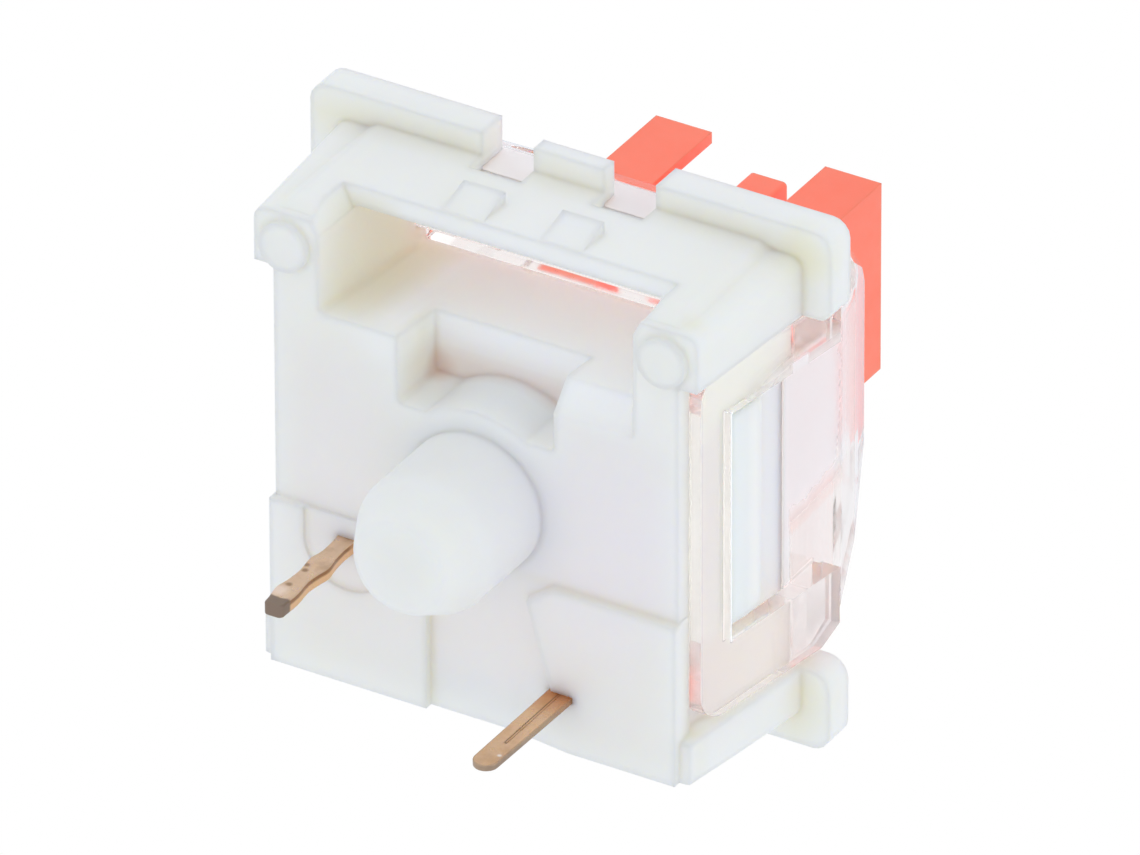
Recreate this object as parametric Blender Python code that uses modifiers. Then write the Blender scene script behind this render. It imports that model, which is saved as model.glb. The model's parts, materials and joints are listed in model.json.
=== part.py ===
"""Cross-stem keyboard switch, plate mounted, with two terminal pins and a central locating pole.

Frame: origin on the pole's axis in the plane of the bottom pads, +Z towards the keycap,
-Y on the side of the lamp slot, +Y on the side of the pins. Dimensions below are millimetres.
"""

import math

import bmesh
import bpy
from mathutils import Vector

MM = 0.001

# Driving dimensions
TRAVEL = 4.0
PAD_Z = 0.0  # the pads that touch the circuit board
FLOOR_Z = 0.25  # the rest of the underside
INNER_FLOOR_Z = 1.0
SEAT_Z = 5.0  # underside of the flange, on the plate
FLANGE_TOP_Z = 6.0
FLANGE_HALF = 7.8
BODY_HALF = 6.98
TOP_Z = 11.6
STEM_TOP_Z = 15.2
PIN_TIP_Z = -3.75
POLE_TIP_Z = -3.65
POLE_R = 2.0
PIN_A = (-3.81, 2.54)
PIN_B = (2.54, 5.08)
FRAME_LOW_Z = 0.86  # lower edge of the upper housing's side frames
FRAME_TOP_Z = 6.65
CATCH_Z = 2.2
RIB_Z = 5.5
WELL_R = 2.12
BOSS_R = 2.65
TUBE_R = 1.6
POST_R = 1.0
HOLE_R = 1.15
SPRING_R = 1.86
WIRE_R = 0.1
ROUND_STEPS = 48

for obj in list(bpy.data.objects):
    bpy.data.objects.remove(obj, do_unlink=True)

scene = bpy.context.scene
parts = bpy.data.collections.new("keyboard_switch")
cutters = bpy.data.collections.new("cutters")
scene.collection.children.link(parts)
scene.collection.children.link(cutters)
cutters.hide_render = True


def material(name, colour, roughness, metallic=0.0):
    made = bpy.data.materials.new(name)
    made.use_nodes = True
    shader = made.node_tree.nodes["Principled BSDF"]
    shader.inputs["Base Color"].default_value = (*colour, 1.0)
    shader.inputs["Roughness"].default_value = roughness
    shader.inputs["Metallic"].default_value = metallic
    return made


MILKY = material("milky_plastic", (0.83, 0.86, 0.83), 0.42)
CLEAR = material("clear_plastic", (0.90, 0.78, 0.77), 0.12)
CORAL = material("coral_plastic", (0.93, 0.20, 0.13), 0.45)
COPPER = material("copper_terminal", (0.62, 0.36, 0.22), 0.35, 1.0)
LEAF = material("copper_leaf", (0.72, 0.42, 0.24), 0.28, 1.0)
STEEL = material("spring_steel", (0.62, 0.62, 0.64), 0.25, 1.0)
GOLD = material("gold_contact", (0.86, 0.66, 0.28), 0.2, 1.0)


def put(name, bm, where):
    """The bmesh, held in millimetres, as an object in metres."""
    bmesh.ops.scale(bm, vec=(MM, MM, MM), verts=bm.verts)
    bmesh.ops.recalc_face_normals(bm, faces=bm.faces)
    mesh = bpy.data.meshes.new(name)
    bm.to_mesh(mesh)
    bm.free()
    made = bpy.data.objects.new(name, mesh)
    where.objects.link(made)
    if where is cutters:
        made.hide_render = True
        made.display_type = "WIRE"
    return made


def box(name, x, y, z, round_z=0.0, where=cutters):
    """A box between two limits on each axis, its upright edges rounded if asked."""
    return frustum(name, z, (x, y), (x, y), round_z, where)


def frustum(name, z, low, high, round_z=0.0, where=cutters):
    """A block whose outline changes evenly from the low end to the high end."""
    bm = bmesh.new()
    bmesh.ops.create_cube(bm, size=2.0)
    for vert in bm.verts:
        xs, ys = high if vert.co.z > 0 else low
        vert.co.x = xs[1] if vert.co.x > 0 else xs[0]
        vert.co.y = ys[1] if vert.co.y > 0 else ys[0]
        vert.co.z = z[1] if vert.co.z > 0 else z[0]
    if round_z:
        upright = [e for e in bm.edges if abs(e.verts[0].co.z - e.verts[1].co.z) > 1e-6]
        bmesh.ops.bevel(bm, geom=upright, offset=round_z, segments=4, profile=0.5, affect="EDGES")
    return put(name, bm, where)


def cylinder(name, radius, z, centre=(0.0, 0.0), steps=ROUND_STEPS, where=cutters, tip_radius=None):
    """An upright cylinder, or a cone if the top radius differs."""
    bm = bmesh.new()
    bmesh.ops.create_cone(
        bm,
        cap_ends=True,
        segments=steps,
        radius1=radius,
        radius2=radius if tip_radius is None else tip_radius,
        depth=z[1] - z[0],
    )
    bmesh.ops.translate(bm, vec=(centre[0], centre[1], (z[0] + z[1]) / 2), verts=bm.verts)
    return put(name, bm, where)


def prism(name, outline, along, span, where=cutters):
    """A flat outline pushed along one axis: outline points are on the two other axes, in X, Y, Z order."""
    bm = bmesh.new()
    verts = []
    for a, b in outline:
        point = [a, b]
        point.insert(along, span[0])
        verts.append(bm.verts.new(point))
    face = bm.faces.new(verts)
    pushed = bmesh.ops.extrude_face_region(bm, geom=[face])
    move = Vector((0, 0, 0))
    move[along] = span[1] - span[0]
    bmesh.ops.translate(bm, vec=move, verts=[g for g in pushed["geom"] if isinstance(g, bmesh.types.BMVert)])
    return put(name, bm, where)


def lathe(name, profile, where=cutters):
    """A turned solid about the Z axis from (radius, height) points, top to bottom."""
    bm = bmesh.new()
    verts = [bm.verts.new((r * MM, 0.0, z * MM)) for r, z in profile]
    for first, second in zip(verts, verts[1:]):
        bm.edges.new((first, second))
    mesh = bpy.data.meshes.new(name)
    bm.to_mesh(mesh)
    bm.free()
    made = bpy.data.objects.new(name, mesh)
    where.objects.link(made)
    turn = made.modifiers.new("turn", "SCREW")
    turn.axis = "Z"
    turn.steps = turn.render_steps = ROUND_STEPS
    turn.use_merge_vertices = True
    turn.merge_threshold = 1e-6
    turn.use_smooth_shade = True
    made.hide_render = where is cutters
    if where is cutters:
        made.display_type = "WIRE"
    return made


def loft(name, sections, radius, where=cutters, steps=4):
    """A solid through rounded rectangles, one at each height: a section may give its own corner radius."""
    bm = bmesh.new()
    rings = []
    usual = radius
    for z, xs, ys, *own in sections:
        radius = own[0] if own else usual
        ring = []
        for cx, cy, start in (
            (xs[1] - radius, ys[1] - radius, 0.0),
            (xs[0] + radius, ys[1] - radius, 90.0),
            (xs[0] + radius, ys[0] + radius, 180.0),
            (xs[1] - radius, ys[0] + radius, 270.0),
        ):
            for i in range(steps + 1):
                turn = math.radians(start + 90.0 * i / steps)
                ring.append(bm.verts.new((cx + radius * math.cos(turn), cy + radius * math.sin(turn), z)))
        rings.append(ring)
    count = len(rings[0])
    for low, high in zip(rings, rings[1:]):
        for i in range(count):
            j = (i + 1) % count
            bm.faces.new((low[i], low[j], high[j], high[i]))
    bm.faces.new(list(reversed(rings[0])))
    bm.faces.new(rings[-1])
    return put(name, bm, where)


def leaning(name, outline, inner, outer, sign, where=cutters):
    """A side plate that leans with the body's draft.

    The outline is in Y and Z. Each face is (X at z = 0, growth of X per mm of height).
    """
    bm = bmesh.new()
    near = [bm.verts.new((sign * (inner[0] + inner[1] * z), y, z)) for y, z in outline]
    far = [bm.verts.new((sign * (outer[0] + outer[1] * z), y, z)) for y, z in outline]
    count = len(outline)
    for i in range(count):
        j = (i + 1) % count
        bm.faces.new((near[i], near[j], far[j], far[i]))
    bm.faces.new(near)
    bm.faces.new(list(reversed(far)))
    return put(name, bm, where)


def stack(name, rings, where=cutters):
    """A solid through outlines in X and Y of equal length, one at each height."""
    bm = bmesh.new()
    made = [[bm.verts.new((x, y, z)) for x, y in outline] for z, outline in rings]
    count = len(made[0])
    for low, high in zip(made, made[1:]):
        for i in range(count):
            j = (i + 1) % count
            bm.faces.new((low[i], low[j], high[j], high[i]))
    bm.faces.new(list(reversed(made[0])))
    bm.faces.new(made[-1])
    return put(name, bm, where)


def combine(target, other, operation):
    step = target.modifiers.new(other.name, "BOOLEAN")
    step.operation = operation
    step.solver = "EXACT"
    step.object = other


def add(target, *others):
    for other in others:
        combine(target, other, "UNION")


def cut(target, *others):
    for other in others:
        combine(target, other, "DIFFERENCE")


def both_x(make, name, x, *rest, **named):
    """The same block on both sides of X = 0."""
    right = make(name + "_right", x, *rest, **named)
    left = make(name + "_left", (-x[1], -x[0]), *rest, **named)
    return right, left


def arc(cx, cy, radius, start, end, steps):
    """Points along an arc, in degrees."""
    return [
        (
            cx + radius * math.cos(math.radians(start + (end - start) * i / steps)),
            cy + radius * math.sin(math.radians(start + (end - start) * i / steps)),
        )
        for i in range(steps + 1)
    ]


def flowing(points, steps=3):
    """A smooth line through points, as more points."""
    ends = [points[0], *points, points[-1]]
    made = []
    for before, start, end, after in zip(ends, ends[1:], ends[2:], ends[3:]):
        for i in range(steps):
            t = i / steps
            made.append(
                tuple(
                    0.5 * (2 * b + (c - a) * t + (2 * a - 5 * b + 4 * c - d) * t**2 + (3 * b - a - 3 * c + d) * t**3)
                    for a, b, c, d in zip(before, start, end, after)
                )
            )
    return made + [points[-1]]


def smooth(obj, degrees=35.0):
    obj.data.shade_smooth()
    obj.data.set_sharp_from_angle(angle=math.radians(degrees))


# ---------------------------------------------------------------- lower housing

housing = frustum(
    "bottom_housing",
    (FLOOR_Z, SEAT_Z + 0.2),
    ((-6.62, 6.62), (-6.88, 6.66)),
    ((-BODY_HALF, BODY_HALF), (-6.95, BODY_HALF)),
    0.35,
    parts,
)
housing.data.materials.append(MILKY)

add(housing, box("flange", (-FLANGE_HALF, FLANGE_HALF), (-FLANGE_HALF, FLANGE_HALF), (SEAT_Z, FLANGE_TOP_Z), 0.5))
# The lamp side's wall stands a little proud between the corner pillars, and its ends slope back to them.
wall_rings = []
for z, half, front in ((0.5, 5.95, -6.9), (1.25, 5.72, -7.12), (SEAT_Z + 0.1, 5.72, -7.12)):
    wall_rings.append((z, [(-6.22, -6.4), (-6.22, -6.83), (-half, front), (half, front), (6.22, -6.83), (6.22, -6.4)]))
add(housing, stack("lamp_wall", wall_rings))
# The pin side's corners are slimmer at the bottom than the lamp side's pillars.
for sign, hand in ((1, "right"), (-1, "left")):
    lo = (6.345, 9.0) if sign > 0 else (-9.0, -6.345)
    hi = (6.965, 9.0) if sign > 0 else (-9.0, -6.965)
    cut(housing, frustum(f"corner_back_{hand}", (-0.2, 4.6), (lo, (5.2, 9.0)), (hi, (5.2, 9.0))))
# Small feet under the lamp-side pillars.
for x, hand in ((5.65, "right"), (-5.65, "left")):
    add(housing, cylinder(f"foot_{hand}", 0.71, (0.02, 1.2), (x, -5.96), 24))
# Snap wedges under the flange's gaps hold the switch in the plate.
for side, low_y, high_y in (("lamp", (-7.13, -6.5), (-7.45, -6.5)), ("pin", (6.5, 6.9), (6.5, 7.42))):
    for x, hand in (((0.86, 2.1), "right"), ((-2.1, -0.86), "left")):
        add(housing, frustum(f"wedge_{side}_{hand}", (2.15, 3.25), (x, low_y), (x, high_y)))

# Each side is set back for the upper housing's frame, between the corner pillars, above a low lip.
RECESS = (5.765, 0.119)
for sign, hand in ((1, "right"), (-1, "left")):
    inner = [(RECESS[0] + RECESS[1] * z) for z in (0.8, 5.3)]
    lo = (inner[0], 9.0) if sign > 0 else (-9.0, -inner[0])
    hi = (inner[1], 9.0) if sign > 0 else (-9.0, -inner[1])
    cut(housing, frustum(f"side_recess_{hand}", (0.8, 5.3), (lo, (-5.24, 5.45)), (hi, (-5.24, 5.45))))
    lip = ((6.02, 9.0), (6.08, 9.0)) if sign > 0 else ((-9.0, -6.02), (-9.0, -6.08))
    cut(housing, frustum(f"side_lip_{hand}", (-0.2, 0.9), (lip[0], (-5.24, 5.45)), (lip[1], (-5.24, 5.45))))
    wing = (6.3, 9.0) if sign > 0 else (-9.0, -6.3)
    cut(housing, box(f"flange_side_{hand}", wing, (-5.24, 5.45), (SEAT_Z, 6.6)))
    # The flange's ends beside that gap are rounded.
    for y, turn, radius, end in ((-5.24, -1, 0.35, "lamp"), (5.45, 1, 0.6, "pin")):
        inner_x, inner_y = FLANGE_HALF - radius, y + turn * radius
        corner = [(inner_x, y - turn * 0.2), (FLANGE_HALF + 0.2, y - turn * 0.2), (FLANGE_HALF + 0.2, inner_y)]
        corner += arc(inner_x, inner_y, radius, 0, -90 * turn, 5)
        cut(housing, prism(f"flange_end_{end}_{hand}", [(sign * a, b) for a, b in corner], 2, (SEAT_Z - 0.2, 6.6)))
# Gaps in the flange over the snap wedges, and the thinner tab between them on the lamp side.
for y, side in (((-8.4, -6.7), "lamp"), ((6.7, 8.4), "pin")):
    cut(housing, *both_x(box, f"gap_{side}", (1.06, 2.6), y, (4.3, 6.6)))
cut(housing, box("thin_tab", (-1.3, 1.3), (-8.4, -6.7), (5.5, 6.6)))

# The hollow inside, and the seat of the upper housing.
cut(housing, box("hollow", (-5.55, 5.55), (-3.1, 6.1), (INNER_FLOOR_Z, 7.0), 0.3))
cut(housing, box("upper_seat", (-6.48, 6.48), (-6.78, 6.78), (SEAT_Z, 7.0), 0.3))
# A rib along the lamp slot stands up into the upper housing.
add(housing, box("slot_rib", (-4.9, 4.9), (-4.3, -3.22), (4.6, RIB_Z)))

# Pads round the pins.
add(
    housing,
    box("pad_left", (-6.1, -1.38), (1.7, 6.66), (PAD_Z, 0.7)),
    stack(
        "pad_right",
        [
            (PAD_Z, [(1.65, 2.4), (2.4, 1.86), (6.1, 1.86), (6.1, 6.66), (2.9, 6.66)]),
            (0.31, [(1.6, 2.36), (2.37, 1.83), (6.1, 1.83), (6.1, 6.66), (0.6, 6.66)]),
            (0.7, [(1.6, 2.36), (2.37, 1.83), (6.1, 1.83), (6.1, 6.66), (0.6, 6.66)]),
        ],
    ),
)

# The roof over the recess beside the pole, the recess, and the round well of the spring.
add(housing, box("recess_roof", (-2.93, 2.93), (-3.33, -1.5), (0.87, 2.77)))
cut(housing, box("recess", (-2.35, 2.35), (-4.9, -2.2), (-1.0, 2.2), 0.12))
add(housing, cylinder("well_wall", BOSS_R, (FLOOR_Z, 2.8)))
add(
    housing,
    lathe(
        "pole",
        [(0.0, 0.9), (POLE_R, 0.9), (POLE_R, -2.2), (1.95, -2.45), (1.84, -2.66), (1.46, -3.42), (1.34, -3.58), (1.16, POLE_TIP_Z), (0.0, POLE_TIP_Z)],
    ),
)
cut(housing, cylinder("well", WELL_R, (0.9, 9.0)))
add(housing, cylinder("tube", TUBE_R, (0.7, 3.2)))
cut(housing, cylinder("post_hole", HOLE_R, (PIN_TIP_Z + 1.62, 9.0)))

# Catches that the upper housing's frames hook under.
for sign, hand in ((1, "right"), (-1, "left")):
    profile = [(5.9, CATCH_Z), (6.5, CATCH_Z), (6.62, 2.8), (6.64, 3.4), (6.2, 4.25), (5.9, 4.25)]
    profile = [(sign * x, z) for x, z in profile]
    add(housing, prism(f"catch_{hand}", profile, 1, (-3.55, 2.75)))

# Slots for the two pins, and a shallow sink with a round end beside one.
cut(
    housing,
    box("slot_a", (-4.13, -3.54), (2.28, 2.68), (-1.0, 2.0)),
    box("slot_b", (2.25, 3.04), (4.92, 5.14), (-1.0, 2.0)),
    cylinder("sink_a", 1.33, (-0.5, 0.11), (-3.75, 2.5), 32),
    box("sink_a_open", (-5.075, -2.425), (1.2, 2.5), (-0.5, 0.11)),
)
# Lamp slot: right through, and open at the bottom towards -Y through a flared mouth.
cut(
    housing,
    frustum("lamp_slot", (-1.0, 7.0), ((-4.74, 4.74), (-6.55, -4.30)), ((-4.6, 4.6), (-6.5, -3.62)), 0.12),
    prism("lamp_mouth", [(-5.0, -9.0), (5.0, -9.0), (5.0, -7.0), (4.72, -6.45), (-4.72, -6.45), (-5.0, -7.0)], 2, (-1.0, 2.05)),
)
cut(housing, prism("slot_chamfer", [(-4.6, -1.6), (-4.6, 1.15), (-4.1, 0.9), (-3.35, FLOOR_Z), (-3.35, -1.6)], 0, (2.35, 4.7)))

smooth(housing)

# ---------------------------------------------------------------- upper housing

upper = loft(
    "top_housing",
    [
        (SEAT_Z + 0.008, (-6.42, 6.42), (-6.7, 6.7)),
        (6.2, (-6.40, 6.40), (-6.7, 6.66)),
        (8.2, (-6.28, 6.28), (-5.5, 5.9)),
        (9.6, (-5.88, 5.88), (-4.55, 5.1), 0.75),
        (TOP_Z, (-5.0, 5.0), (-3.22, 3.75), 1.0),
    ],
    0.45,
    parts,
)
upper.data.materials.append(CLEAR)
# A frame down each side: two legs and a bar under the lower housing's catch.
FRAME_INNER = (RECESS[0] + 0.06, RECESS[1])
FRAME_OUTER = (6.265, 0.134)
for sign, hand in ((1, "right"), (-1, "left")):
    outline = (
        [(-5.15, FRAME_TOP_Z), (-5.15, FRAME_LOW_Z + 0.7)]
        + arc(-4.45, FRAME_LOW_Z + 0.7, 0.7, 180, 270, 5)[1:]
        + arc(4.3, FRAME_LOW_Z + 0.95, 0.95, 270, 360, 6)
        + [(5.3, 5.9), (4.9, FRAME_TOP_Z)]
    )
    add(upper, leaning(f"frame_{hand}", outline, FRAME_INNER, FRAME_OUTER, sign))
    # Each leg joins the wall above the flange.
    for y, end in (((-5.1, -3.5), "lamp"), ((3.1, 5.2), "pin")):
        shoulder = [(y[0], SEAT_Z + 0.05), (y[1], SEAT_Z + 0.05), (y[1], FRAME_TOP_Z - 0.1), (y[0], FRAME_TOP_Z - 0.1)]
        if end == "pin":
            shoulder[2:3] = [(5.2, 5.85), (4.8, FRAME_TOP_Z - 0.1)]
        add(upper, leaning(f"shoulder_{end}_{hand}", shoulder, (6.1, 0.0), (FRAME_OUTER[0] - 0.03, FRAME_OUTER[1]), sign))
    window = [(-3.65, CATCH_Z - 0.06), (3.2, CATCH_Z - 0.06), (3.2, 9.0), (-3.65, 9.0)]
    window_low = [(-3.65, CATCH_Z - 0.06), (3.2, CATCH_Z - 0.06), (3.2, SEAT_Z + 0.008), (-3.65, SEAT_Z + 0.008)]
    cut(upper, leaning(f"window_{hand}", window, (6.43, 0.0), (9.0, 0.0), sign), leaning(f"window_low_{hand}", window_low, (5.0, 0.0), (9.0, 0.0), sign))
# The hollow for the stem and the contacts, the stem's opening, and the pocket over the lamp.
cut(
    upper,
    loft(
        "upper_hollow",
        [(4.5, (-5.55, 5.55), (-3.0, 6.0)), (6.3, (-5.55, 5.55), (-3.0, 5.95)), (8.2, (-5.5, 5.5), (-3.0, 5.3)), (10.55, (-4.65, 4.65), (-3.0, 3.6))],
        0.3,
    ),
    box("stem_opening", (-3.53, 3.53), (-2.95, 2.95), (10.0, 12.5), 0.15),
    box("rib_room", (-4.98, 4.98), (-4.38, -2.9), (4.4, RIB_Z + 0.04)),
    box("lamp_pocket", (-3.3, 3.3), (-6.1, -3.75), (6.7, 12.0), 0.4),
)
smooth(upper)

# ---------------------------------------------------------------- stem

stem = box("stem", (-3.43, 3.43), (-2.85, 2.85), (7.5, 11.4), 0.15, parts)
stem.data.materials.append(CORAL)
add(stem, box("stem_flange", (-3.75, 3.75), (-2.86, 3.42), (9.4, 10.5), 0.2))
add(
    stem,
    box("cross_x", (-2.02, 2.02), (-0.585, 0.585), (11.2, STEM_TOP_Z), 0.12),
    box("cross_y", (-0.56, 0.56), (-1.98, 1.98), (11.2, STEM_TOP_Z), 0.12),
)
for sign, hand in ((1, "right"), (-1, "left")):
    wall = (2.98, 3.42) if sign > 0 else (-3.42, -2.98)
    back = (1.72, 3.42) if sign > 0 else (-3.42, -1.72)
    add(
        stem,
        box(f"dust_wall_{hand}", wall, (-2.84, 2.84), (11.2, STEM_TOP_Z)),
        box(f"dust_back_lamp_{hand}", back, (-2.84, -2.5), (11.2, STEM_TOP_Z)),
        box(f"dust_back_pin_{hand}", back, (2.5, 2.84), (11.2, STEM_TOP_Z)),
    )
    span = (1.7, 2.6) if sign > 0 else (-2.6, -1.7)
    leg = [(2.7, 8.4), (4.4, 7.6), (4.45, 5.6), (4.85, 5.6), (5.12, 5.72), (5.12, 6.05), (4.72, 7.2), (4.2, 9.45), (2.7, 9.45)]
    add(stem, prism(f"leg_{hand}", leg, 0, span))
cut(stem, cylinder("spring_room", 2.15, (7.0, 9.95)))
add(stem, cylinder("post", POST_R, (2.2, 10.2), steps=32), cylinder("post_tip", 0.7, (1.9, 2.3), steps=32, tip_radius=POST_R))
smooth(stem)

# ---------------------------------------------------------------- return spring


def coil(name):
    """A wire coil whose end turns are closed."""
    low, high = 0.92 + WIRE_R, 9.93 - WIRE_R
    closed, turns, per_turn = 1.5, 12.0, 16
    pitch = (high - low - 2 * closed * 2.2 * WIRE_R) / (turns - 2 * closed)
    curve = bpy.data.curves.new(name, "CURVE")
    curve.dimensions = "3D"
    curve.bevel_depth = WIRE_R * MM
    curve.bevel_resolution = 2
    curve.use_fill_caps = True
    count = int(turns * per_turn) + 1
    line = curve.splines.new("POLY")
    line.points.add(count - 1)
    for i, point in enumerate(line.points):
        turn = i / per_turn
        if turn < closed:
            z = low + turn * 2.2 * WIRE_R
        elif turn > turns - closed:
            z = high - (turns - turn) * 2.2 * WIRE_R
        else:
            z = low + closed * 2.2 * WIRE_R + (turn - closed) * pitch
        angle = 2 * math.pi * turn
        point.co = (SPRING_R * math.cos(angle) * MM, SPRING_R * math.sin(angle) * MM, z * MM, 1.0)
    made = bpy.data.objects.new(name, curve)
    parts.objects.link(made)
    return made


spring = coil("return_spring")
spring.data.materials.append(STEEL)

# ---------------------------------------------------------------- fixed contact

left, right = -4.11, -3.56
fixed_y = (2.3, 2.66)
# The pin's edges wave a little, as the blank left the tool.
going_down = [(left, 0.2), (-4.07, -0.67), (-4.16, -1.15), (-4.085, -1.8), (-4.12, -2.4), (-4.19, -2.8), (-4.1, -3.3)]
coming_up = [(-3.52, -3.35), (-3.51, -2.8), (-3.58, -2.2), (-3.535, -1.72), (-3.47, -1.34), (-3.55, -0.85), (-3.585, -0.35), (right, 0.1)]
wavy = [(left, 1.2)] + flowing(going_down)
wavy += arc(-3.95, -3.5, 0.13, 190, 260, 4) + arc(-3.67, -3.48, 0.15, 280, 350, 4)
wavy += flowing(coming_up) + [(right, 1.2)]
fixed = prism("fixed_terminal", wavy, 1, fixed_y, parts)
fixed.data.materials.append(COPPER)
add(
    fixed,
    box("riser", (left, right), fixed_y, (1.05, 3.4)),
    box("side_arm", (left, left + 0.3), (fixed_y[0], 4.3), (2.2, 3.4)),
    box("face_low", (left, -1.3), (4.05, 4.3), (2.2, 3.45)),
    box("face_high", (-1.5, 0.6), (4.05, 4.3), (2.2, 5.6)),
)

fixed_point = box("fixed_contact_point", (-0.45, 0.45), (4.32, 4.5), (4.78, 5.02), where=parts)
fixed_point.data.materials.append(GOLD)

# ---------------------------------------------------------------- moving contact

flat = [(2.27, 1.45), (2.27, -0.3), (2.25, -3.6)] + arc(2.6, -3.6, 0.35, 180, 360, 14)[1:-1] + [(2.95, -3.6), (2.96, -2.9), (3.02, -0.3), (3.02, 1.45)]
moving = prism("moving_terminal", flat, 1, (4.94, 5.12), parts)
moving.data.materials.append(COPPER)
add(
    moving,
    box("tab", (2.27, 3.02), (4.94, 5.85), (1.05, 1.45)),
    box("back_plate", (-2.8, 3.02), (5.6, 5.85), (1.05, 2.5)),
)
# A faint groove along the middle of the pin's lamp-side face.
cut(moving, box("pin_groove", (2.6, 2.68), (4.8, 4.952), (-2.7, 0.4)))

ROOT = (5.49, 1.95)  # Y and Z of the line the leaf swings about
leaf = box("moving_leaf", (-2.75, 2.75), (5.44, 5.54), (1.5, 2.4), where=parts)
leaf.data.materials.append(LEAF)
arm = [(5.44, 2.2), (5.54, 2.2), (5.30, 5.6), (5.25, 5.9), (5.30, 6.2), (5.36, 6.6), (5.26, 6.6), (5.20, 6.2), (5.145, 5.9), (5.20, 5.6)]
tongue = [(5.44, 2.2), (5.54, 2.2), (5.12, 5.4), (5.02, 5.4)]
add(
    leaf,
    prism("leaf_arm_right", arm, 0, (1.9, 2.7)),
    prism("leaf_arm_left", arm, 0, (-2.7, -1.9)),
    prism("leaf_tongue", tongue, 0, (-0.45, 0.45)),
)
moving_point = box("moving_contact_point", (-0.13, 0.13), (4.79, 5.025), (4.6, 5.2), where=parts)
moving_point.data.materials.append(GOLD)

# Moving pieces have their origins on their joints' axes.
pivot = bpy.data.objects.new("leaf_root", None)
pivot.location = (0.0, ROOT[0] * MM, ROOT[1] * MM)
parts.objects.link(pivot)
for piece in (leaf, moving_point):
    piece.parent = pivot
    piece.location = (0.0, -ROOT[0] * MM, -ROOT[1] * MM)
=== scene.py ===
"""Looks of the cross-stem keyboard switch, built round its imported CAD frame."""

import json
import math

import bmesh
import bpy
from mathutils import Matrix, Vector

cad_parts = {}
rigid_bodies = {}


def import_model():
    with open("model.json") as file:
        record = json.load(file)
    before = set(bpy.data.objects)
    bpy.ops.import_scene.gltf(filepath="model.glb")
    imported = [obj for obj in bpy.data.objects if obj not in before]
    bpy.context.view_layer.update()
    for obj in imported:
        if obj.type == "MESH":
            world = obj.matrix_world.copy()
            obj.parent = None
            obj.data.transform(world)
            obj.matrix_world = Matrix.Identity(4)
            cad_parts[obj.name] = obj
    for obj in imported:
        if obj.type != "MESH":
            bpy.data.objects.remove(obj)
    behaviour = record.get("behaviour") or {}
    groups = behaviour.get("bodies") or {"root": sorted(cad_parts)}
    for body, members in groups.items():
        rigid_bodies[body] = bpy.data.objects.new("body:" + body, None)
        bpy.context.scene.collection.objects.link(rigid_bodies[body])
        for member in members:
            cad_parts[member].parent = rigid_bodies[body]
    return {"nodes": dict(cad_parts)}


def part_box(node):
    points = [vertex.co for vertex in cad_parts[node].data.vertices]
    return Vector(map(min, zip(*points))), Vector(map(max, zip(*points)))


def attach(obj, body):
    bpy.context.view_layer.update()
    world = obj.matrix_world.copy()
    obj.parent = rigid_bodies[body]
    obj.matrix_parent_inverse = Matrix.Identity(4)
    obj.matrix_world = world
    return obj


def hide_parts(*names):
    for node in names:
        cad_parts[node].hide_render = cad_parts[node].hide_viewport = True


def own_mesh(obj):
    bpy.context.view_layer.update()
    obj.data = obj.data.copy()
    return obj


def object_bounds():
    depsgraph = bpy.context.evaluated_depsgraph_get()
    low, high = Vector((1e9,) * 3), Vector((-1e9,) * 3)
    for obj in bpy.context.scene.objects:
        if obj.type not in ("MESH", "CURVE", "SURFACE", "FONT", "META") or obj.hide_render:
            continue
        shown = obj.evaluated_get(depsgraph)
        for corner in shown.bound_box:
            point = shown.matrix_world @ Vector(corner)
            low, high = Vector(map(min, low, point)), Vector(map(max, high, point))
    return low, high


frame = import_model()
cad_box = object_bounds()
nodes = frame["nodes"]
MM = 0.001
scene = bpy.context.scene

for old in list(bpy.data.objects):
    if old.type in ("CAMERA", "LIGHT") or old.name == "Cube":
        bpy.data.objects.remove(old, do_unlink=True)

# ---------------------------------------------------------------- materials


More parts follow.
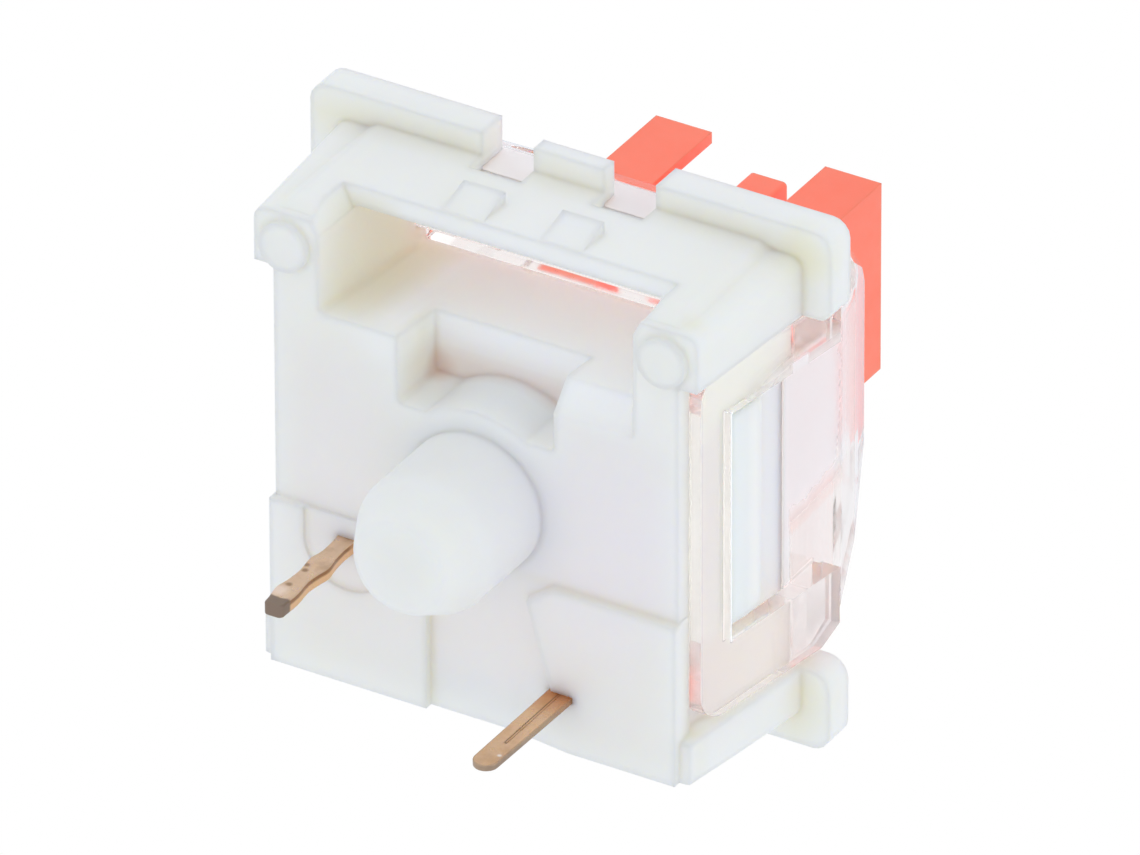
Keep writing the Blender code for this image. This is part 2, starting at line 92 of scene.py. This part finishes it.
class Shader:
    """A node material that is written as short calls."""

    def __init__(self, name):
        self.made = bpy.data.materials.new(name)
        self.made.use_nodes = True
        self.tree = self.made.node_tree
        self.bsdf = self.tree.nodes["Principled BSDF"]
        self.where = self.node("ShaderNodeTexCoord").outputs["Object"]

    def node(self, kind, **settings):
        made = self.tree.nodes.new(kind)
        for key, value in settings.items():
            setattr(made, key, value)
        return made

    def link(self, a, b):
        self.tree.links.new(a, b)

    def noise(self, scale, detail=4.0, rough=0.5, stretch=None):
        """Noise over the object's own coordinates; scale is per metre."""
        made = self.node("ShaderNodeTexNoise")
        made.inputs["Scale"].default_value = scale
        made.inputs["Detail"].default_value = detail
        made.inputs["Roughness"].default_value = rough
        source = self.where
        if stretch:
            mapping = self.node("ShaderNodeMapping")
            mapping.inputs["Scale"].default_value = stretch
            self.link(source, mapping.inputs["Vector"])
            source = mapping.outputs["Vector"]
        self.link(source, made.inputs["Vector"])
        return made.outputs["Fac"]

    def ramp(self, fac, *stops):
        """Colours along a value: each stop is (place, colour)."""
        made = self.node("ShaderNodeValToRGB")
        while len(made.color_ramp.elements) < len(stops):
            made.color_ramp.elements.new(0.5)
        for element, (place, colour) in zip(made.color_ramp.elements, stops):
            element.position = place
            element.color = (*colour, 1.0) if isinstance(colour, tuple) else (colour, colour, colour, 1.0)
        self.link(fac, made.inputs["Fac"])
        return made.outputs["Color"]

    def mix(self, fac, a, b, how="MIX"):
        made = self.node("ShaderNodeMix", data_type="RGBA", blend_type=how)
        for socket, value in ((made.inputs["Factor"], fac), (made.inputs["A"], a), (made.inputs["B"], b)):
            if isinstance(value, (int, float)):
                socket.default_value = value
            elif isinstance(value, tuple):
                socket.default_value = (*value, 1.0)
            else:
                self.link(value, socket)
        # The colour sockets come after the float and vector ones of the same name.
        colours = [s for s in made.inputs if s.type == "RGBA"]
        for socket, value in zip(colours, (a, b)):
            if isinstance(value, tuple):
                socket.default_value = (*value, 1.0)
            else:
                self.link(value, socket)
        return [s for s in made.outputs if s.type == "RGBA"][0]

    def maths(self, how, a, b=None, clamp=False):
        made = self.node("ShaderNodeMath", operation=how, use_clamp=clamp)
        for socket, value in zip(made.inputs, (a, b)):
            if value is None:
                continue
            if isinstance(value, (int, float)):
                socket.default_value = value
            else:
                self.link(value, socket)
        return made.outputs[0]

    def span(self, value, low, high, to_low=0.0, to_high=1.0):
        made = self.node("ShaderNodeMapRange", clamp=True)
        made.inputs["From Min"].default_value = low
        made.inputs["From Max"].default_value = high
        made.inputs["To Min"].default_value = to_low
        made.inputs["To Max"].default_value = to_high
        self.link(value, made.inputs["Value"])
        return made.outputs["Result"]

    def axes(self):
        made = self.node("ShaderNodeSeparateXYZ")
        self.link(self.where, made.inputs[0])
        return made.outputs

    def bump(self, height, distance, strength=1.0, under=None):
        made = self.node("ShaderNodeBump")
        made.inputs["Distance"].default_value = distance
        made.inputs["Strength"].default_value = strength
        self.link(height, made.inputs["Height"])
        if under is not None:
            self.link(under, made.inputs["Normal"])
        return made.outputs["Normal"]

    def rounded(self, radius, samples=4):
        """Normals that round off each edge by this radius."""
        made = self.node("ShaderNodeBevel", samples=samples)
        made.inputs["Radius"].default_value = radius
        return made.outputs["Normal"]

    def edge(self, radius, soft=0.80, samples=6):
        """1 along the edges, 0 on the flats between them."""
        plain = self.node("ShaderNodeNewGeometry").outputs["Normal"]
        turned = self.node("ShaderNodeVectorMath", operation="DOT_PRODUCT")
        self.link(plain, turned.inputs[0])
        self.link(self.rounded(radius, samples), turned.inputs[1])
        return self.span(turned.outputs["Value"], soft, 0.995, 1.0, 0.0)

    def spots(self, scale, size, share):
        """Sparse round specks: 1 inside each; share is how many of the cells hold one."""
        cells = self.node("ShaderNodeTexVoronoi")
        cells.inputs["Scale"].default_value = scale
        self.link(self.where, cells.inputs["Vector"])
        pick = self.node("ShaderNodeSeparateColor")
        self.link(cells.outputs["Color"], pick.inputs[0])
        chosen = self.maths("LESS_THAN", pick.outputs[0], share)
        near = self.span(cells.outputs["Distance"], size * 0.5, size, 1.0, 0.0)
        return self.maths("MULTIPLY", near, chosen)

    def near(self, point, size):
        """1 at a point, 0 beyond a distance from it."""
        away = self.node("ShaderNodeVectorMath", operation="DISTANCE")
        self.link(self.where, away.inputs[0])
        away.inputs[1].default_value = point
        return self.span(away.outputs["Value"], size * 0.4, size, 1.0, 0.0)

    def within(self, **limits):
        """1 inside a soft box: each limit is (low, high, fade) on x, y or z."""
        axes = self.axes()
        inside = None
        for axis, (low, high, fade) in limits.items():
            value = axes[axis.upper()]
            both = self.maths("MINIMUM", self.span(value, low - fade, low + fade), self.span(value, high - fade, high + fade, 1.0, 0.0))
            inside = both if inside is None else self.maths("MULTIPLY", inside, both)
        return inside

    def beside(self, radius, **line):
        """1 on a line along one axis, 0 beyond a distance from it: the line is given by its two other coordinates."""
        axes = self.axes()
        total = None
        for axis, place in line.items():
            off = self.maths("SUBTRACT", axes[axis.upper()], place)
            off = self.maths("MULTIPLY", off, off)
            total = off if total is None else self.maths("ADD", total, off)
        return self.span(self.maths("SQRT", total), 0.0, radius, 1.0, 0.0)

    def set(self, **values):
        for key, value in values.items():
            socket = self.bsdf.inputs[key.replace("_", " ")]
            if isinstance(value, (int, float)):
                socket.default_value = value
            elif isinstance(value, tuple):
                socket.default_value = (*value, 1.0) if socket.type == "RGBA" else value
            else:
                self.link(value, socket)


def milky_plastic():
    """Milky translucent nylon: warm in the depth, satin, with faint flow marks, a fine moulded grain and a few specks;
    painted shade darkens its creases and recesses, painted light brightens its lamp slot and the walls behind the clear
    frame.
    """
    s = Shader("milky_plastic")
    flow = s.noise(260.0, 3.0, 0.55, (1.0, 1.0, 0.45))
    cloud = s.noise(900.0, 2.0, 0.5)
    colour = s.ramp(flow, (0.30, (0.870, 0.862, 0.800)), (0.72, (0.892, 0.882, 0.845)))
    colour = s.mix(s.span(cloud, 0.35, 0.7, 0.0, 0.35), colour, (0.865, 0.858, 0.815))
    # Painted light and shade: some tints paint light into the lamp slot and onto the walls behind the clear frame,
    # others paint shade on the slot's left wall, in the creases and in the recess; a rosy tint lies round a spot on the
    # underside.
    painted_olive_shade, painted_umber_shade, painted_cream_light = (0.83, 0.80, 0.64), (0.62, 0.42, 0.32), (0.99, 0.965, 0.87)
    painted_pale_light, rosy, painted_leafy_light = (0.97, 0.99, 0.955), (0.885, 0.850, 0.868), (0.895, 0.965, 0.90)
    side_wall = s.span(s.maths("ABSOLUTE", s.axes()["X"]), 0.0057, 0.0058)
    side_wall = s.maths("MULTIPLY", side_wall, s.span(s.maths("ABSOLUTE", s.axes()["X"]), 0.0065, 0.0067, 1.0, 0.0))
    for strength, deep, tone in (
        (0.50, s.near((0.0034, 0.0004, 0.0), 0.0040), rosy),
        # Painted light inside the lamp slot.
        (1.0, s.within(x=(-0.0034, 0.0050, 0.0004), y=(-0.0068, -0.0033, 0.0003), z=(0.0006, 0.0062, 0.0006)), painted_pale_light),
        # Painted shade on the lamp slot's left wall.
        (0.60, s.within(x=(-0.0050, -0.0036, 0.0005), y=(-0.0068, -0.0033, 0.0003), z=(0.0008, 0.0062, 0.0008)), painted_olive_shade),
        # Painted light on the side walls and the catch behind the clear frame.
        (0.90, s.maths("MULTIPLY", side_wall, s.within(y=(-0.0053, 0.0030, 0.0003), z=(0.0012, 0.0050, 0.0004))), painted_leafy_light),
        (0.80, s.maths("MULTIPLY", s.span(s.maths("ABSOLUTE", s.axes()["X"]), 0.0060, 0.0062), s.within(y=(-0.0036, 0.0032, 0.0001), z=(0.0030, 0.0049, 0.0002))), painted_cream_light),
        # Painted shade in the creases: under the flange, along the lamp wall, round the pads, by the frame's bar and in
        # the recess.
        (0.50, s.beside(0.0009, y=-0.0070, z=0.0050), painted_olive_shade),
        (0.55, s.maths("MULTIPLY", s.beside(0.0008, x=0.0070, y=-0.0070), s.span(s.axes()["Z"], 0.0028, 0.0046)), painted_olive_shade),
        (0.40, s.maths("MULTIPLY", s.beside(0.0007, x=0.0068, z=0.0050), s.span(s.maths("ABSOLUTE", s.axes()["Y"]), 0.0034, 0.0040)), painted_olive_shade),
        (0.30, s.near((0.0070, 0.0064, 0.0050), 0.0012), painted_olive_shade),
        (0.45, s.maths("MULTIPLY", s.beside(0.00028, y=0.00182, z=0.00012), s.span(s.axes()["X"], -0.0014, 0.0030)), painted_olive_shade),
        (0.50, s.maths("MULTIPLY", s.beside(0.00028, x=-0.00134, z=0.00012), s.span(s.axes()["Y"], 0.0020, 0.0026)), painted_olive_shade),
        (0.45, s.beside(0.0005, x=0.0062, z=0.0008), painted_olive_shade),
        (0.45, s.within(x=(-0.0026, -0.00225, 0.0001), y=(-0.0048, -0.0022, 0.0004), z=(0.0008, 0.0022, 0.0006)), painted_olive_shade),
        (0.30, s.near((-0.00235, -0.0023, 0.0022), 0.0007), painted_umber_shade),
        (0.20, s.within(x=(-0.0024, 0.0016, 0.0002), y=(-0.0029, -0.0021, 0.0002), z=(0.0019, 0.0025, 0.0002)), painted_umber_shade),
    ):
        colour = s.mix(s.maths("MULTIPLY", deep, strength), colour, tone)
    colour = s.mix(s.maths("MULTIPLY", s.spots(420.0, 0.030, 0.16), 0.45), colour, (0.30, 0.29, 0.25))
    grain = s.noise(9000.0, 3.0, 0.6)
    speck = s.noise(2600.0, 2.0, 0.4)
    rough = s.span(speck, 0.3, 0.7, 0.36, 0.5)
    normal = s.bump(grain, 0.000012, 0.35, s.rounded(0.00034, 4))
    s.set(
        Base_Color=colour,
        Roughness=rough,
        Normal=normal,
        IOR=1.5,
        Subsurface_Weight=0.75,
        Subsurface_Scale=0.0014,
    )
    s.bsdf.inputs["Subsurface Radius"].default_value = (1.0, 0.88, 0.6)
    return s.made


def clear_plastic():
    """Clear polycarbonate with a faint pink cast, polished, with slight waves from the mould; a pink band painted as
    the red stem's reflection, and a painted glow on the ledge under the catch.
    """
    s = Shader("clear_plastic")
    wave = s.noise(420.0, 2.0, 0.5)
    haze = s.noise(1500.0, 3.0, 0.6)
    colour = s.ramp(wave, (0.3, (1.0, 0.988, 0.983)), (0.7, (1.0, 0.995, 0.991)))
    # The side panels, the lamp side's low wall and the frames' legs come from the mould a little frosted.
    sides = s.span(s.maths("ABSOLUTE", s.axes()["X"]), 0.0053, 0.0055)
    # Painted light: the ledge under the catch is given a faint glow and a whiter colour, besides its frost.
    painted_glow_ledge = s.maths("MULTIPLY", sides, s.within(y=(-0.0037, 0.00325, 0.00003), z=(0.00209, 0.00218, 0.00002)))
    frost = None
    for strength, zone in (
        (0.74, s.maths("MULTIPLY", sides, s.within(y=(-0.0038, 0.0013, 0.0005), z=(0.0036, 0.0086, 0.0009)))),
        (0.80, s.maths("MULTIPLY", sides, s.within(y=(-0.0040, 0.0032, 0.0001), z=(0.0046, 0.00535, 0.0001)))),
        (0.22, s.maths("MULTIPLY", sides, s.span(s.axes()["Z"], 0.00088, 0.00098, 1.0, 0.0))),
        (0.20, s.maths("MULTIPLY", sides, s.within(y=(0.0013, 0.0070, 0.0004), z=(0.0045, 0.0075, 0.0004)))),
        (0.82, s.within(y=(-0.0072, -0.0052, 0.0002), z=(0.0040, 0.0066, 0.0004))),
        (0.90, painted_glow_ledge),
    ):
        zone = s.maths("MULTIPLY", zone, strength)
        frost = zone if frost is None else s.maths("MAXIMUM", frost, zone)
    frost = s.maths("MULTIPLY", frost, s.span(haze, 0.25, 0.6, 0.94, 1.06), clamp=True)
    # Painted reflection: a pink band on the side panels stands in for the red stem seen through the clear plastic.
    painted_pink_band = s.maths("MULTIPLY", sides, s.within(y=(0.00115, 0.00175, 0.0001), z=(0.0050, 0.0088, 0.0003)))
    colour = s.mix(s.maths("MULTIPLY", painted_pink_band, 0.8), colour, (1.0, 0.80, 0.76))
    colour = s.mix(frost, colour, (1.0, 0.945, 0.92))
    colour = s.mix(painted_glow_ledge, colour, (1.0, 0.995, 0.985))
    rough = s.maths("ADD", s.span(haze, 0.3, 0.75, 0.04, 0.10), s.maths("MULTIPLY", frost, 0.35))
    s.set(Base_Color=colour, Roughness=rough, IOR=1.49, Transmission_Weight=s.maths("SUBTRACT", 1.0, frost))
    s.set(Normal=s.bump(wave, 0.00002, 0.15), Emission_Color=(1.0, 0.99, 0.98), Emission_Strength=s.maths("MULTIPLY", painted_glow_ledge, 0.09))
    return s.made


def coral_plastic():
    """Coral red acetal: satin, slightly lighter where light soaks through, with a faint painted red glow."""
    s = Shader("coral_plastic")
    flow = s.noise(330.0, 3.0, 0.5)
    colour = s.ramp(flow, (0.3, (1.0, 0.205, 0.115)), (0.7, (1.0, 0.240, 0.140)))
    grain = s.noise(8000.0, 3.0, 0.6)
    rough = s.span(s.noise(2200.0, 2.0), 0.3, 0.7, 0.36, 0.48)
    s.set(
        Base_Color=colour,
        Roughness=rough,
        Normal=s.bump(grain, 0.00001, 0.35, s.rounded(0.00008)),
        Subsurface_Weight=0.35,
        Subsurface_Scale=0.0006,
        # Painted glow: a faint red self-glow makes the stem look brighter red than its colour alone can.
        Emission_Color=(1.0, 0.03, 0.0),
        Emission_Strength=0.11,
    )
    s.bsdf.inputs["Subsurface Radius"].default_value = (1.0, 0.35, 0.25)
    return s.made


def copper(name, bright, dark, rim=0.0, root=None, tip=None, painted_highlight_spot=None, shine=None, cut_face=None, dents=(), outline=None):
    """Copper-coloured sheet with faint drawing marks and stains, and painted dark reflections along its edges.

    root is where the metal turns redder by the housing, tip where the pin's end gets painted shade: each is
    (near, far, colour) along Z. painted_highlight_spot is a small painted highlight, shine a wider painted
    highlight, and dents are darker spots. cut_face is the Y of the broad face and the thickness: the sheared side
    gets painted shade beside that face and a painted highlight beyond. outline is a round-ended pin's edges,
    outside which the pin gets painted dark reflections while the face inside stays bright: left and right X, how
    the right one leans with Z, the front Y, and the end's centre and radius.
    """
    s = Shader(name)
    drawn = s.noise(5200.0, 3.0, 0.6, (1.0, 1.0, 0.10))
    stain = s.noise(1300.0, 4.0, 0.6)
    colour = s.mix(s.span(stain, 0.50, 0.68, 0.0, 0.8), bright, dark)
    colour = s.mix(s.span(drawn, 0.35, 0.7, 0.0, 0.22), colour, (bright[0] * 0.74, bright[1] * 0.66, bright[2] * 0.6))
    rough = s.span(stain, 0.35, 0.65, 0.24, 0.38)
    z = s.axes()["Z"]
    if root:
        colour = s.mix(s.span(z, root[1], root[0], 0.0, 0.85), colour, root[2])
    if cut_face:
        place, thick = cut_face
        deep = s.maths("DIVIDE", s.maths("SUBTRACT", s.axes()["Y"], place), thick)
        below = s.span(z, -0.0002, 0.0001, 1.0, 0.0)
        band = s.maths("MULTIPLY", s.span(deep, 0.04, 0.10), s.span(deep, 0.30, 0.48, 1.0, 0.0))
        # Painted highlight on the sheared side beyond the broad face, and a band of painted shade beside it below the
        # housing.
        colour = s.mix(s.maths("MULTIPLY", s.span(deep, 0.04, 0.10), 0.85), colour, (0.90, 0.56, 0.30))
        colour = s.mix(s.maths("MULTIPLY", s.maths("MULTIPLY", band, below), 0.92), colour, (0.33, 0.155, 0.07))
    for dent in dents:
        colour = s.mix(s.near(dent, 0.00012), colour, (0.42, 0.27, 0.17))
    # Painted highlight: a wider bright place on the face.
    if shine:
        colour = s.mix(s.maths("MULTIPLY", s.near(shine, 0.00034), 0.75), colour, (1.0, 0.80, 0.66))
    # Painted dark reflections along the rounded edges.
    if rim:
        colour = s.mix(s.maths("MULTIPLY", s.edge(0.00005), rim), colour, (0.20, 0.145, 0.11))
    # Painted dark reflections along the pin's sides and round its end, outside its outline.
    if outline:
        left, right, lean, front, tip_x, tip_z, tip_r = outline
        x, y = s.axes()["X"], s.axes()["Y"]
        fade = 0.000025
        beyond = s.span(s.maths("SUBTRACT", x, left), -fade, fade, 1.0, 0.0)
        beyond = s.maths("MAXIMUM", beyond, s.span(s.maths("SUBTRACT", x, s.maths("MULTIPLY", z, lean)), right - fade, right + fade))
        beyond = s.maths("MAXIMUM", beyond, s.span(y, front + 0.00002, front + 0.00005))
        off_x, off_z = s.maths("SUBTRACT", x, tip_x), s.maths("SUBTRACT", z, tip_z)
        away = s.maths("SQRT", s.maths("ADD", s.maths("MULTIPLY", off_x, off_x), s.maths("MULTIPLY", off_z, off_z)))
        end = s.maths("MULTIPLY", s.span(away, tip_r - fade, tip_r + fade), s.maths("LESS_THAN", z, tip_z))
        beyond = s.maths("MULTIPLY", s.maths("MAXIMUM", beyond, end), s.span(z, -0.0012, 0.0, 0.85, 0.45))
        colour = s.mix(s.maths("MULTIPLY", beyond, s.span(stain, 0.3, 0.7, 0.7, 1.0)), colour, (0.30, 0.225, 0.17))
    # Painted shade on the pin's end.
    if tip:
        painted_tip_shade = s.maths("ADD", s.span(z, tip[1], tip[0]), s.span(stain, 0.3, 0.7, -0.16, 0.16), clamp=True)
        colour = s.mix(s.span(painted_tip_shade, 0.42, 0.60), colour, tip[2])
    # Painted highlight: a small bright spot.
    if painted_highlight_spot:
        colour = s.mix(s.near(painted_highlight_spot, 0.00008), colour, (1.0, 0.93, 0.84))
    s.set(Base_Color=colour, Metallic=1.0, Roughness=rough, Normal=s.bump(drawn, 0.000008, 0.4, s.rounded(0.00006)))
    return s.made


def metal(name, low, high, rough):
    s = Shader(name)
    drawn = s.noise(6000.0, 3.0, 0.6)
    s.set(
        Base_Color=s.ramp(drawn, (0.3, low), (0.7, high)),
        Metallic=1.0,
        Roughness=s.span(drawn, 0.3, 0.7, rough * 0.75, rough * 1.3),
        Normal=s.bump(drawn, 0.000006, 0.4),
    )
    return s.made


MILKY = milky_plastic()
CLEAR = clear_plastic()
CORAL = coral_plastic()
TAN, REDDER = (0.82, 0.595, 0.42), (0.60, 0.24, 0.09)
PIN_A = copper(
    "copper_fixed",
    TAN,
    (0.62, 0.42, 0.28),
    rim=0.45,
    tip=(-0.00340, -0.00300, (0.28, 0.205, 0.155)),
    shine=(-0.00404, 0.0023, -0.00290),
    cut_face=(0.0023, 0.00036),
    dents=((-0.00405, 0.0023, -0.00150), (-0.00395, 0.0023, -0.00175), (-0.00395, 0.0023, -0.00255)),
)
PIN_B = copper(
    "copper_moving",
    (0.86, 0.585, 0.37),
    (0.72, 0.46, 0.27),
    rim=0.85,
    root=(-0.0001, -0.0012, REDDER),
    painted_highlight_spot=(0.00282, 0.00494, -0.00330),
    outline=(0.00227, 0.003005, 0.02, 0.00494, 0.00260, -0.00360, 0.00033),
)
LEAF = copper("copper_leaf", (0.90, 0.62, 0.42), (0.80, 0.50, 0.32), rim=0.5)
STEEL = metal("spring_steel", (0.50, 0.50, 0.52), (0.66, 0.66, 0.68), 0.24)
GOLD = metal("gold_contact", (0.86, 0.62, 0.26), (0.95, 0.74, 0.36), 0.18)

# ---------------------------------------------------------------- pieces


def wear(obj, look):
    obj.data.materials.clear()
    obj.data.materials.append(look)


def detailed(node, name, body, look, width, segments=2, degrees=28.0):
    """The node's shape as a new piece: its flat faces made whole again, and its edges rounded."""
    source = nodes[node]
    mesh = source.data.copy()
    mesh.name = name
    bm = bmesh.new()
    bm.from_mesh(mesh)
    bmesh.ops.remove_doubles(bm, verts=bm.verts, dist=2e-6)
    bmesh.ops.dissolve_degenerate(bm, edges=bm.edges, dist=2e-6)
    bmesh.ops.dissolve_limit(bm, angle_limit=math.radians(0.6), verts=bm.verts, edges=bm.edges)
    bm.to_mesh(mesh)
    bm.free()
    piece = bpy.data.objects.new(name, mesh)
    scene.collection.objects.link(piece)
    if width:
        step = piece.modifiers.new("edges", "BEVEL")
        step.width = width
        step.segments = segments
        step.limit_method = "ANGLE"
        step.angle_limit = math.radians(degrees)
        step.use_clamp_overlap = False
        step.harden_normals = False
        step.miter_outer = "MITER_SHARP"
    wear(piece, look)
    mesh.shade_smooth()
    mesh.set_sharp_from_angle(angle=math.radians(40.0))
    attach(piece, body)
    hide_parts(node)
    return piece


def wire_coil(name, radius, wire, low, high, turns, closed, per_turn=36, sides=12):
    """A wound wire whose end turns lie on each other and are ground flat, as a mesh tube."""
    bm = bmesh.new()
    low, high = low + wire, high - wire
    tight = 2.2 * wire
    pitch = (high - low - 2 * closed * tight) / (turns - 2 * closed)
    rings = []
    for i in range(int(turns * per_turn) + 1):
        turn = i / per_turn
        if turn < closed:
            z = low + turn * tight
        elif turn > turns - closed:
            z = high - (turns - turn) * tight
        else:
            z = low + closed * tight + (turn - closed) * pitch
        around = 2.0 * math.pi * turn
        outward = Vector((math.cos(around), math.sin(around), 0.0))
        ring = []
        for k in range(sides):
            a = 2.0 * math.pi * k / sides
            point = outward * (radius + wire * math.cos(a)) + Vector((0.0, 0.0, z + wire * math.sin(a)))
            point.z = min(max(point.z, low - wire * 0.55), high + wire * 0.55)
            ring.append(bm.verts.new(point))
        rings.append(ring)
    for one, two in zip(rings, rings[1:]):
        for k in range(sides):
            j = (k + 1) % sides
            bm.faces.new((one[k], one[j], two[j], two[k]))
    bm.faces.new(list(reversed(rings[0])))
    bm.faces.new(rings[-1])
    bmesh.ops.recalc_face_normals(bm, faces=bm.faces)
    mesh = bpy.data.meshes.new(name)
    bm.to_mesh(mesh)
    bm.free()
    mesh.shade_smooth()
    mesh.set_sharp_from_angle(angle=math.radians(50.0))
    piece = bpy.data.objects.new(name, mesh)
    scene.collection.objects.link(piece)
    return piece


wear(nodes["bottom_housing"], MILKY)
wear(nodes["top_housing"], CLEAR)
wear(nodes["stem"], CORAL)
detailed("fixed_terminal", "fixed_terminal_sheet", "housing", PIN_A, 0.035 * MM)
detailed("moving_terminal", "moving_terminal_sheet", "housing", PIN_B, 0.025 * MM)
detailed("moving_leaf", "moving_leaf_sheet", "leaf", LEAF, 0.012 * MM)
detailed("fixed_contact_point", "fixed_contact_bar", "housing", GOLD, 0.04 * MM, 3)
detailed("moving_contact_point", "moving_contact_bar", "leaf", GOLD, 0.04 * MM, 3)

low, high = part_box("return_spring")
spring = wire_coil("return_spring_coil", 1.86 * MM, 0.1 * MM, low[2], high[2], 12.0, 1.5)
wear(spring, STEEL)
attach(spring, "housing")
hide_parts("return_spring")
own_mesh(spring)

# ---------------------------------------------------------------- stage, light and camera

# The camera looks up at the underside, so the floor shows only from above.
floor_mesh = bpy.data.meshes.new("floor")
bm = bmesh.new()
bmesh.ops.create_grid(bm, x_segments=1, y_segments=1, size=3.0)
bm.to_mesh(floor_mesh)
bm.free()
floor = bpy.data.objects.new("floor", floor_mesh)
floor.location = (0.0, 0.0, cad_box[0][2] - 0.0001)
scene.collection.objects.link(floor)
paper = Shader("floor_paper")
speckle = paper.noise(300.0, 3.0)
paper.set(Base_Color=paper.ramp(speckle, (0.3, (0.80, 0.80, 0.79)), (0.7, (0.83, 0.83, 0.82))), Roughness=0.9)
from_below = paper.node("ShaderNodeNewGeometry").outputs["Backfacing"]
hole = paper.node("ShaderNodeBsdfTransparent")
either = paper.node("ShaderNodeMixShader")
paper.link(from_below, either.inputs[0])
paper.link(paper.bsdf.outputs[0], either.inputs[1])
paper.link(hole.outputs[0], either.inputs[2])
paper.link(either.outputs[0], paper.tree.nodes["Material Output"].inputs["Surface"])
wear(floor, paper.made)
floor.visible_shadow = False
floor.visible_diffuse = False
floor.visible_glossy = False
floor.visible_transmission = False

world = bpy.data.worlds.new("studio")
scene.world = world
world.use_nodes = True
# The backdrop is plain white; what lights the object is a little dimmer and cooler, and what is seen through clear
# plastic a little dimmer and warmer.
ground = world.node_tree.nodes["Background"]
ground.inputs["Color"].default_value = (0.885, 0.93, 1.0, 1.0)
ground.inputs["Strength"].default_value = 0.96
path = world.node_tree.nodes.new("ShaderNodeLightPath")
lit = ground.outputs[0]
for ray, colour, strength in (
    ("Is Transmission Ray", (1.0, 0.975, 0.97), 0.92),
    ("Is Camera Ray", (1.0, 1.0, 1.0), 1.0),
):
    backdrop = world.node_tree.nodes.new("ShaderNodeBackground")
    backdrop.inputs["Color"].default_value = (*colour, 1.0)
    backdrop.inputs["Strength"].default_value = strength
    which = world.node_tree.nodes.new("ShaderNodeMixShader")
    world.node_tree.links.new(path.outputs[ray], which.inputs[0])
    world.node_tree.links.new(lit, which.inputs[1])
    world.node_tree.links.new(backdrop.outputs[0], which.inputs[2])
    lit = which.outputs[0]
world.node_tree.links.new(lit, world.node_tree.nodes["World Output"].inputs["Surface"])


def soft_light(name, toward, distance, size, power, colour=(1.0, 1.0, 1.0)):
    """A square soft light in a direction from the object."""
    light = bpy.data.lights.new(name, "AREA")
    light.shape = "SQUARE"
    light.size = size
    light.energy = power
    light.color = colour
    made = bpy.data.objects.new(name, light)
    direction = Vector(toward).normalized()
    centre = Vector((0.0, 0.0, 0.005))
    made.matrix_world = Matrix.Translation(centre + direction * distance) @ direction.to_track_quat("Z", "Y").to_matrix().to_4x4()
    scene.collection.objects.link(made)
    return made


RIGHT = Vector((0.8593853, 0.0026076, 0.5113219))
DOWN = Vector((0.2659427, 0.851814, -0.4513174))
DEPTH = Vector((-0.436728, 0.5238379, 0.731343))
soft_light("key", -DOWN * 0.9 - RIGHT * 0.5 - DEPTH * 0.5, 0.25, 0.22, 0.008)
soft_light("side", RIGHT * 1.0 - DEPTH * 0.45 + DOWN * 0.1, 0.22, 0.08, 0.02)
soft_light("above", (0.3, -0.3, 1.0), 0.35, 0.3, 0.04)

camera = bpy.data.cameras.new("camera")
camera.sensor_width = 36.0
camera.lens = 706.1286
camera.clip_start = 0.01
camera.clip_end = 20.0
eye = bpy.data.objects.new("camera", camera)
pose = Matrix.Identity(4)
for column, axis in enumerate((RIGHT, -DOWN, -DEPTH)):
    for row in range(3):
        pose[row][column] = axis[row]
for row, value in enumerate((0.253257, -0.30345, -0.419093)):
    pose[row][3] = value
eye.matrix_world = pose
scene.collection.objects.link(eye)
scene.camera = eye
scene.view_settings.view_transform = "Standard"
scene.cycles.max_bounces = 26
scene.cycles.transmission_bounces = 22
scene.cycles.diffuse_bounces = 9
scene.cycles.glossy_bounces = 18
scene.cycles.blur_glossy = 0.0
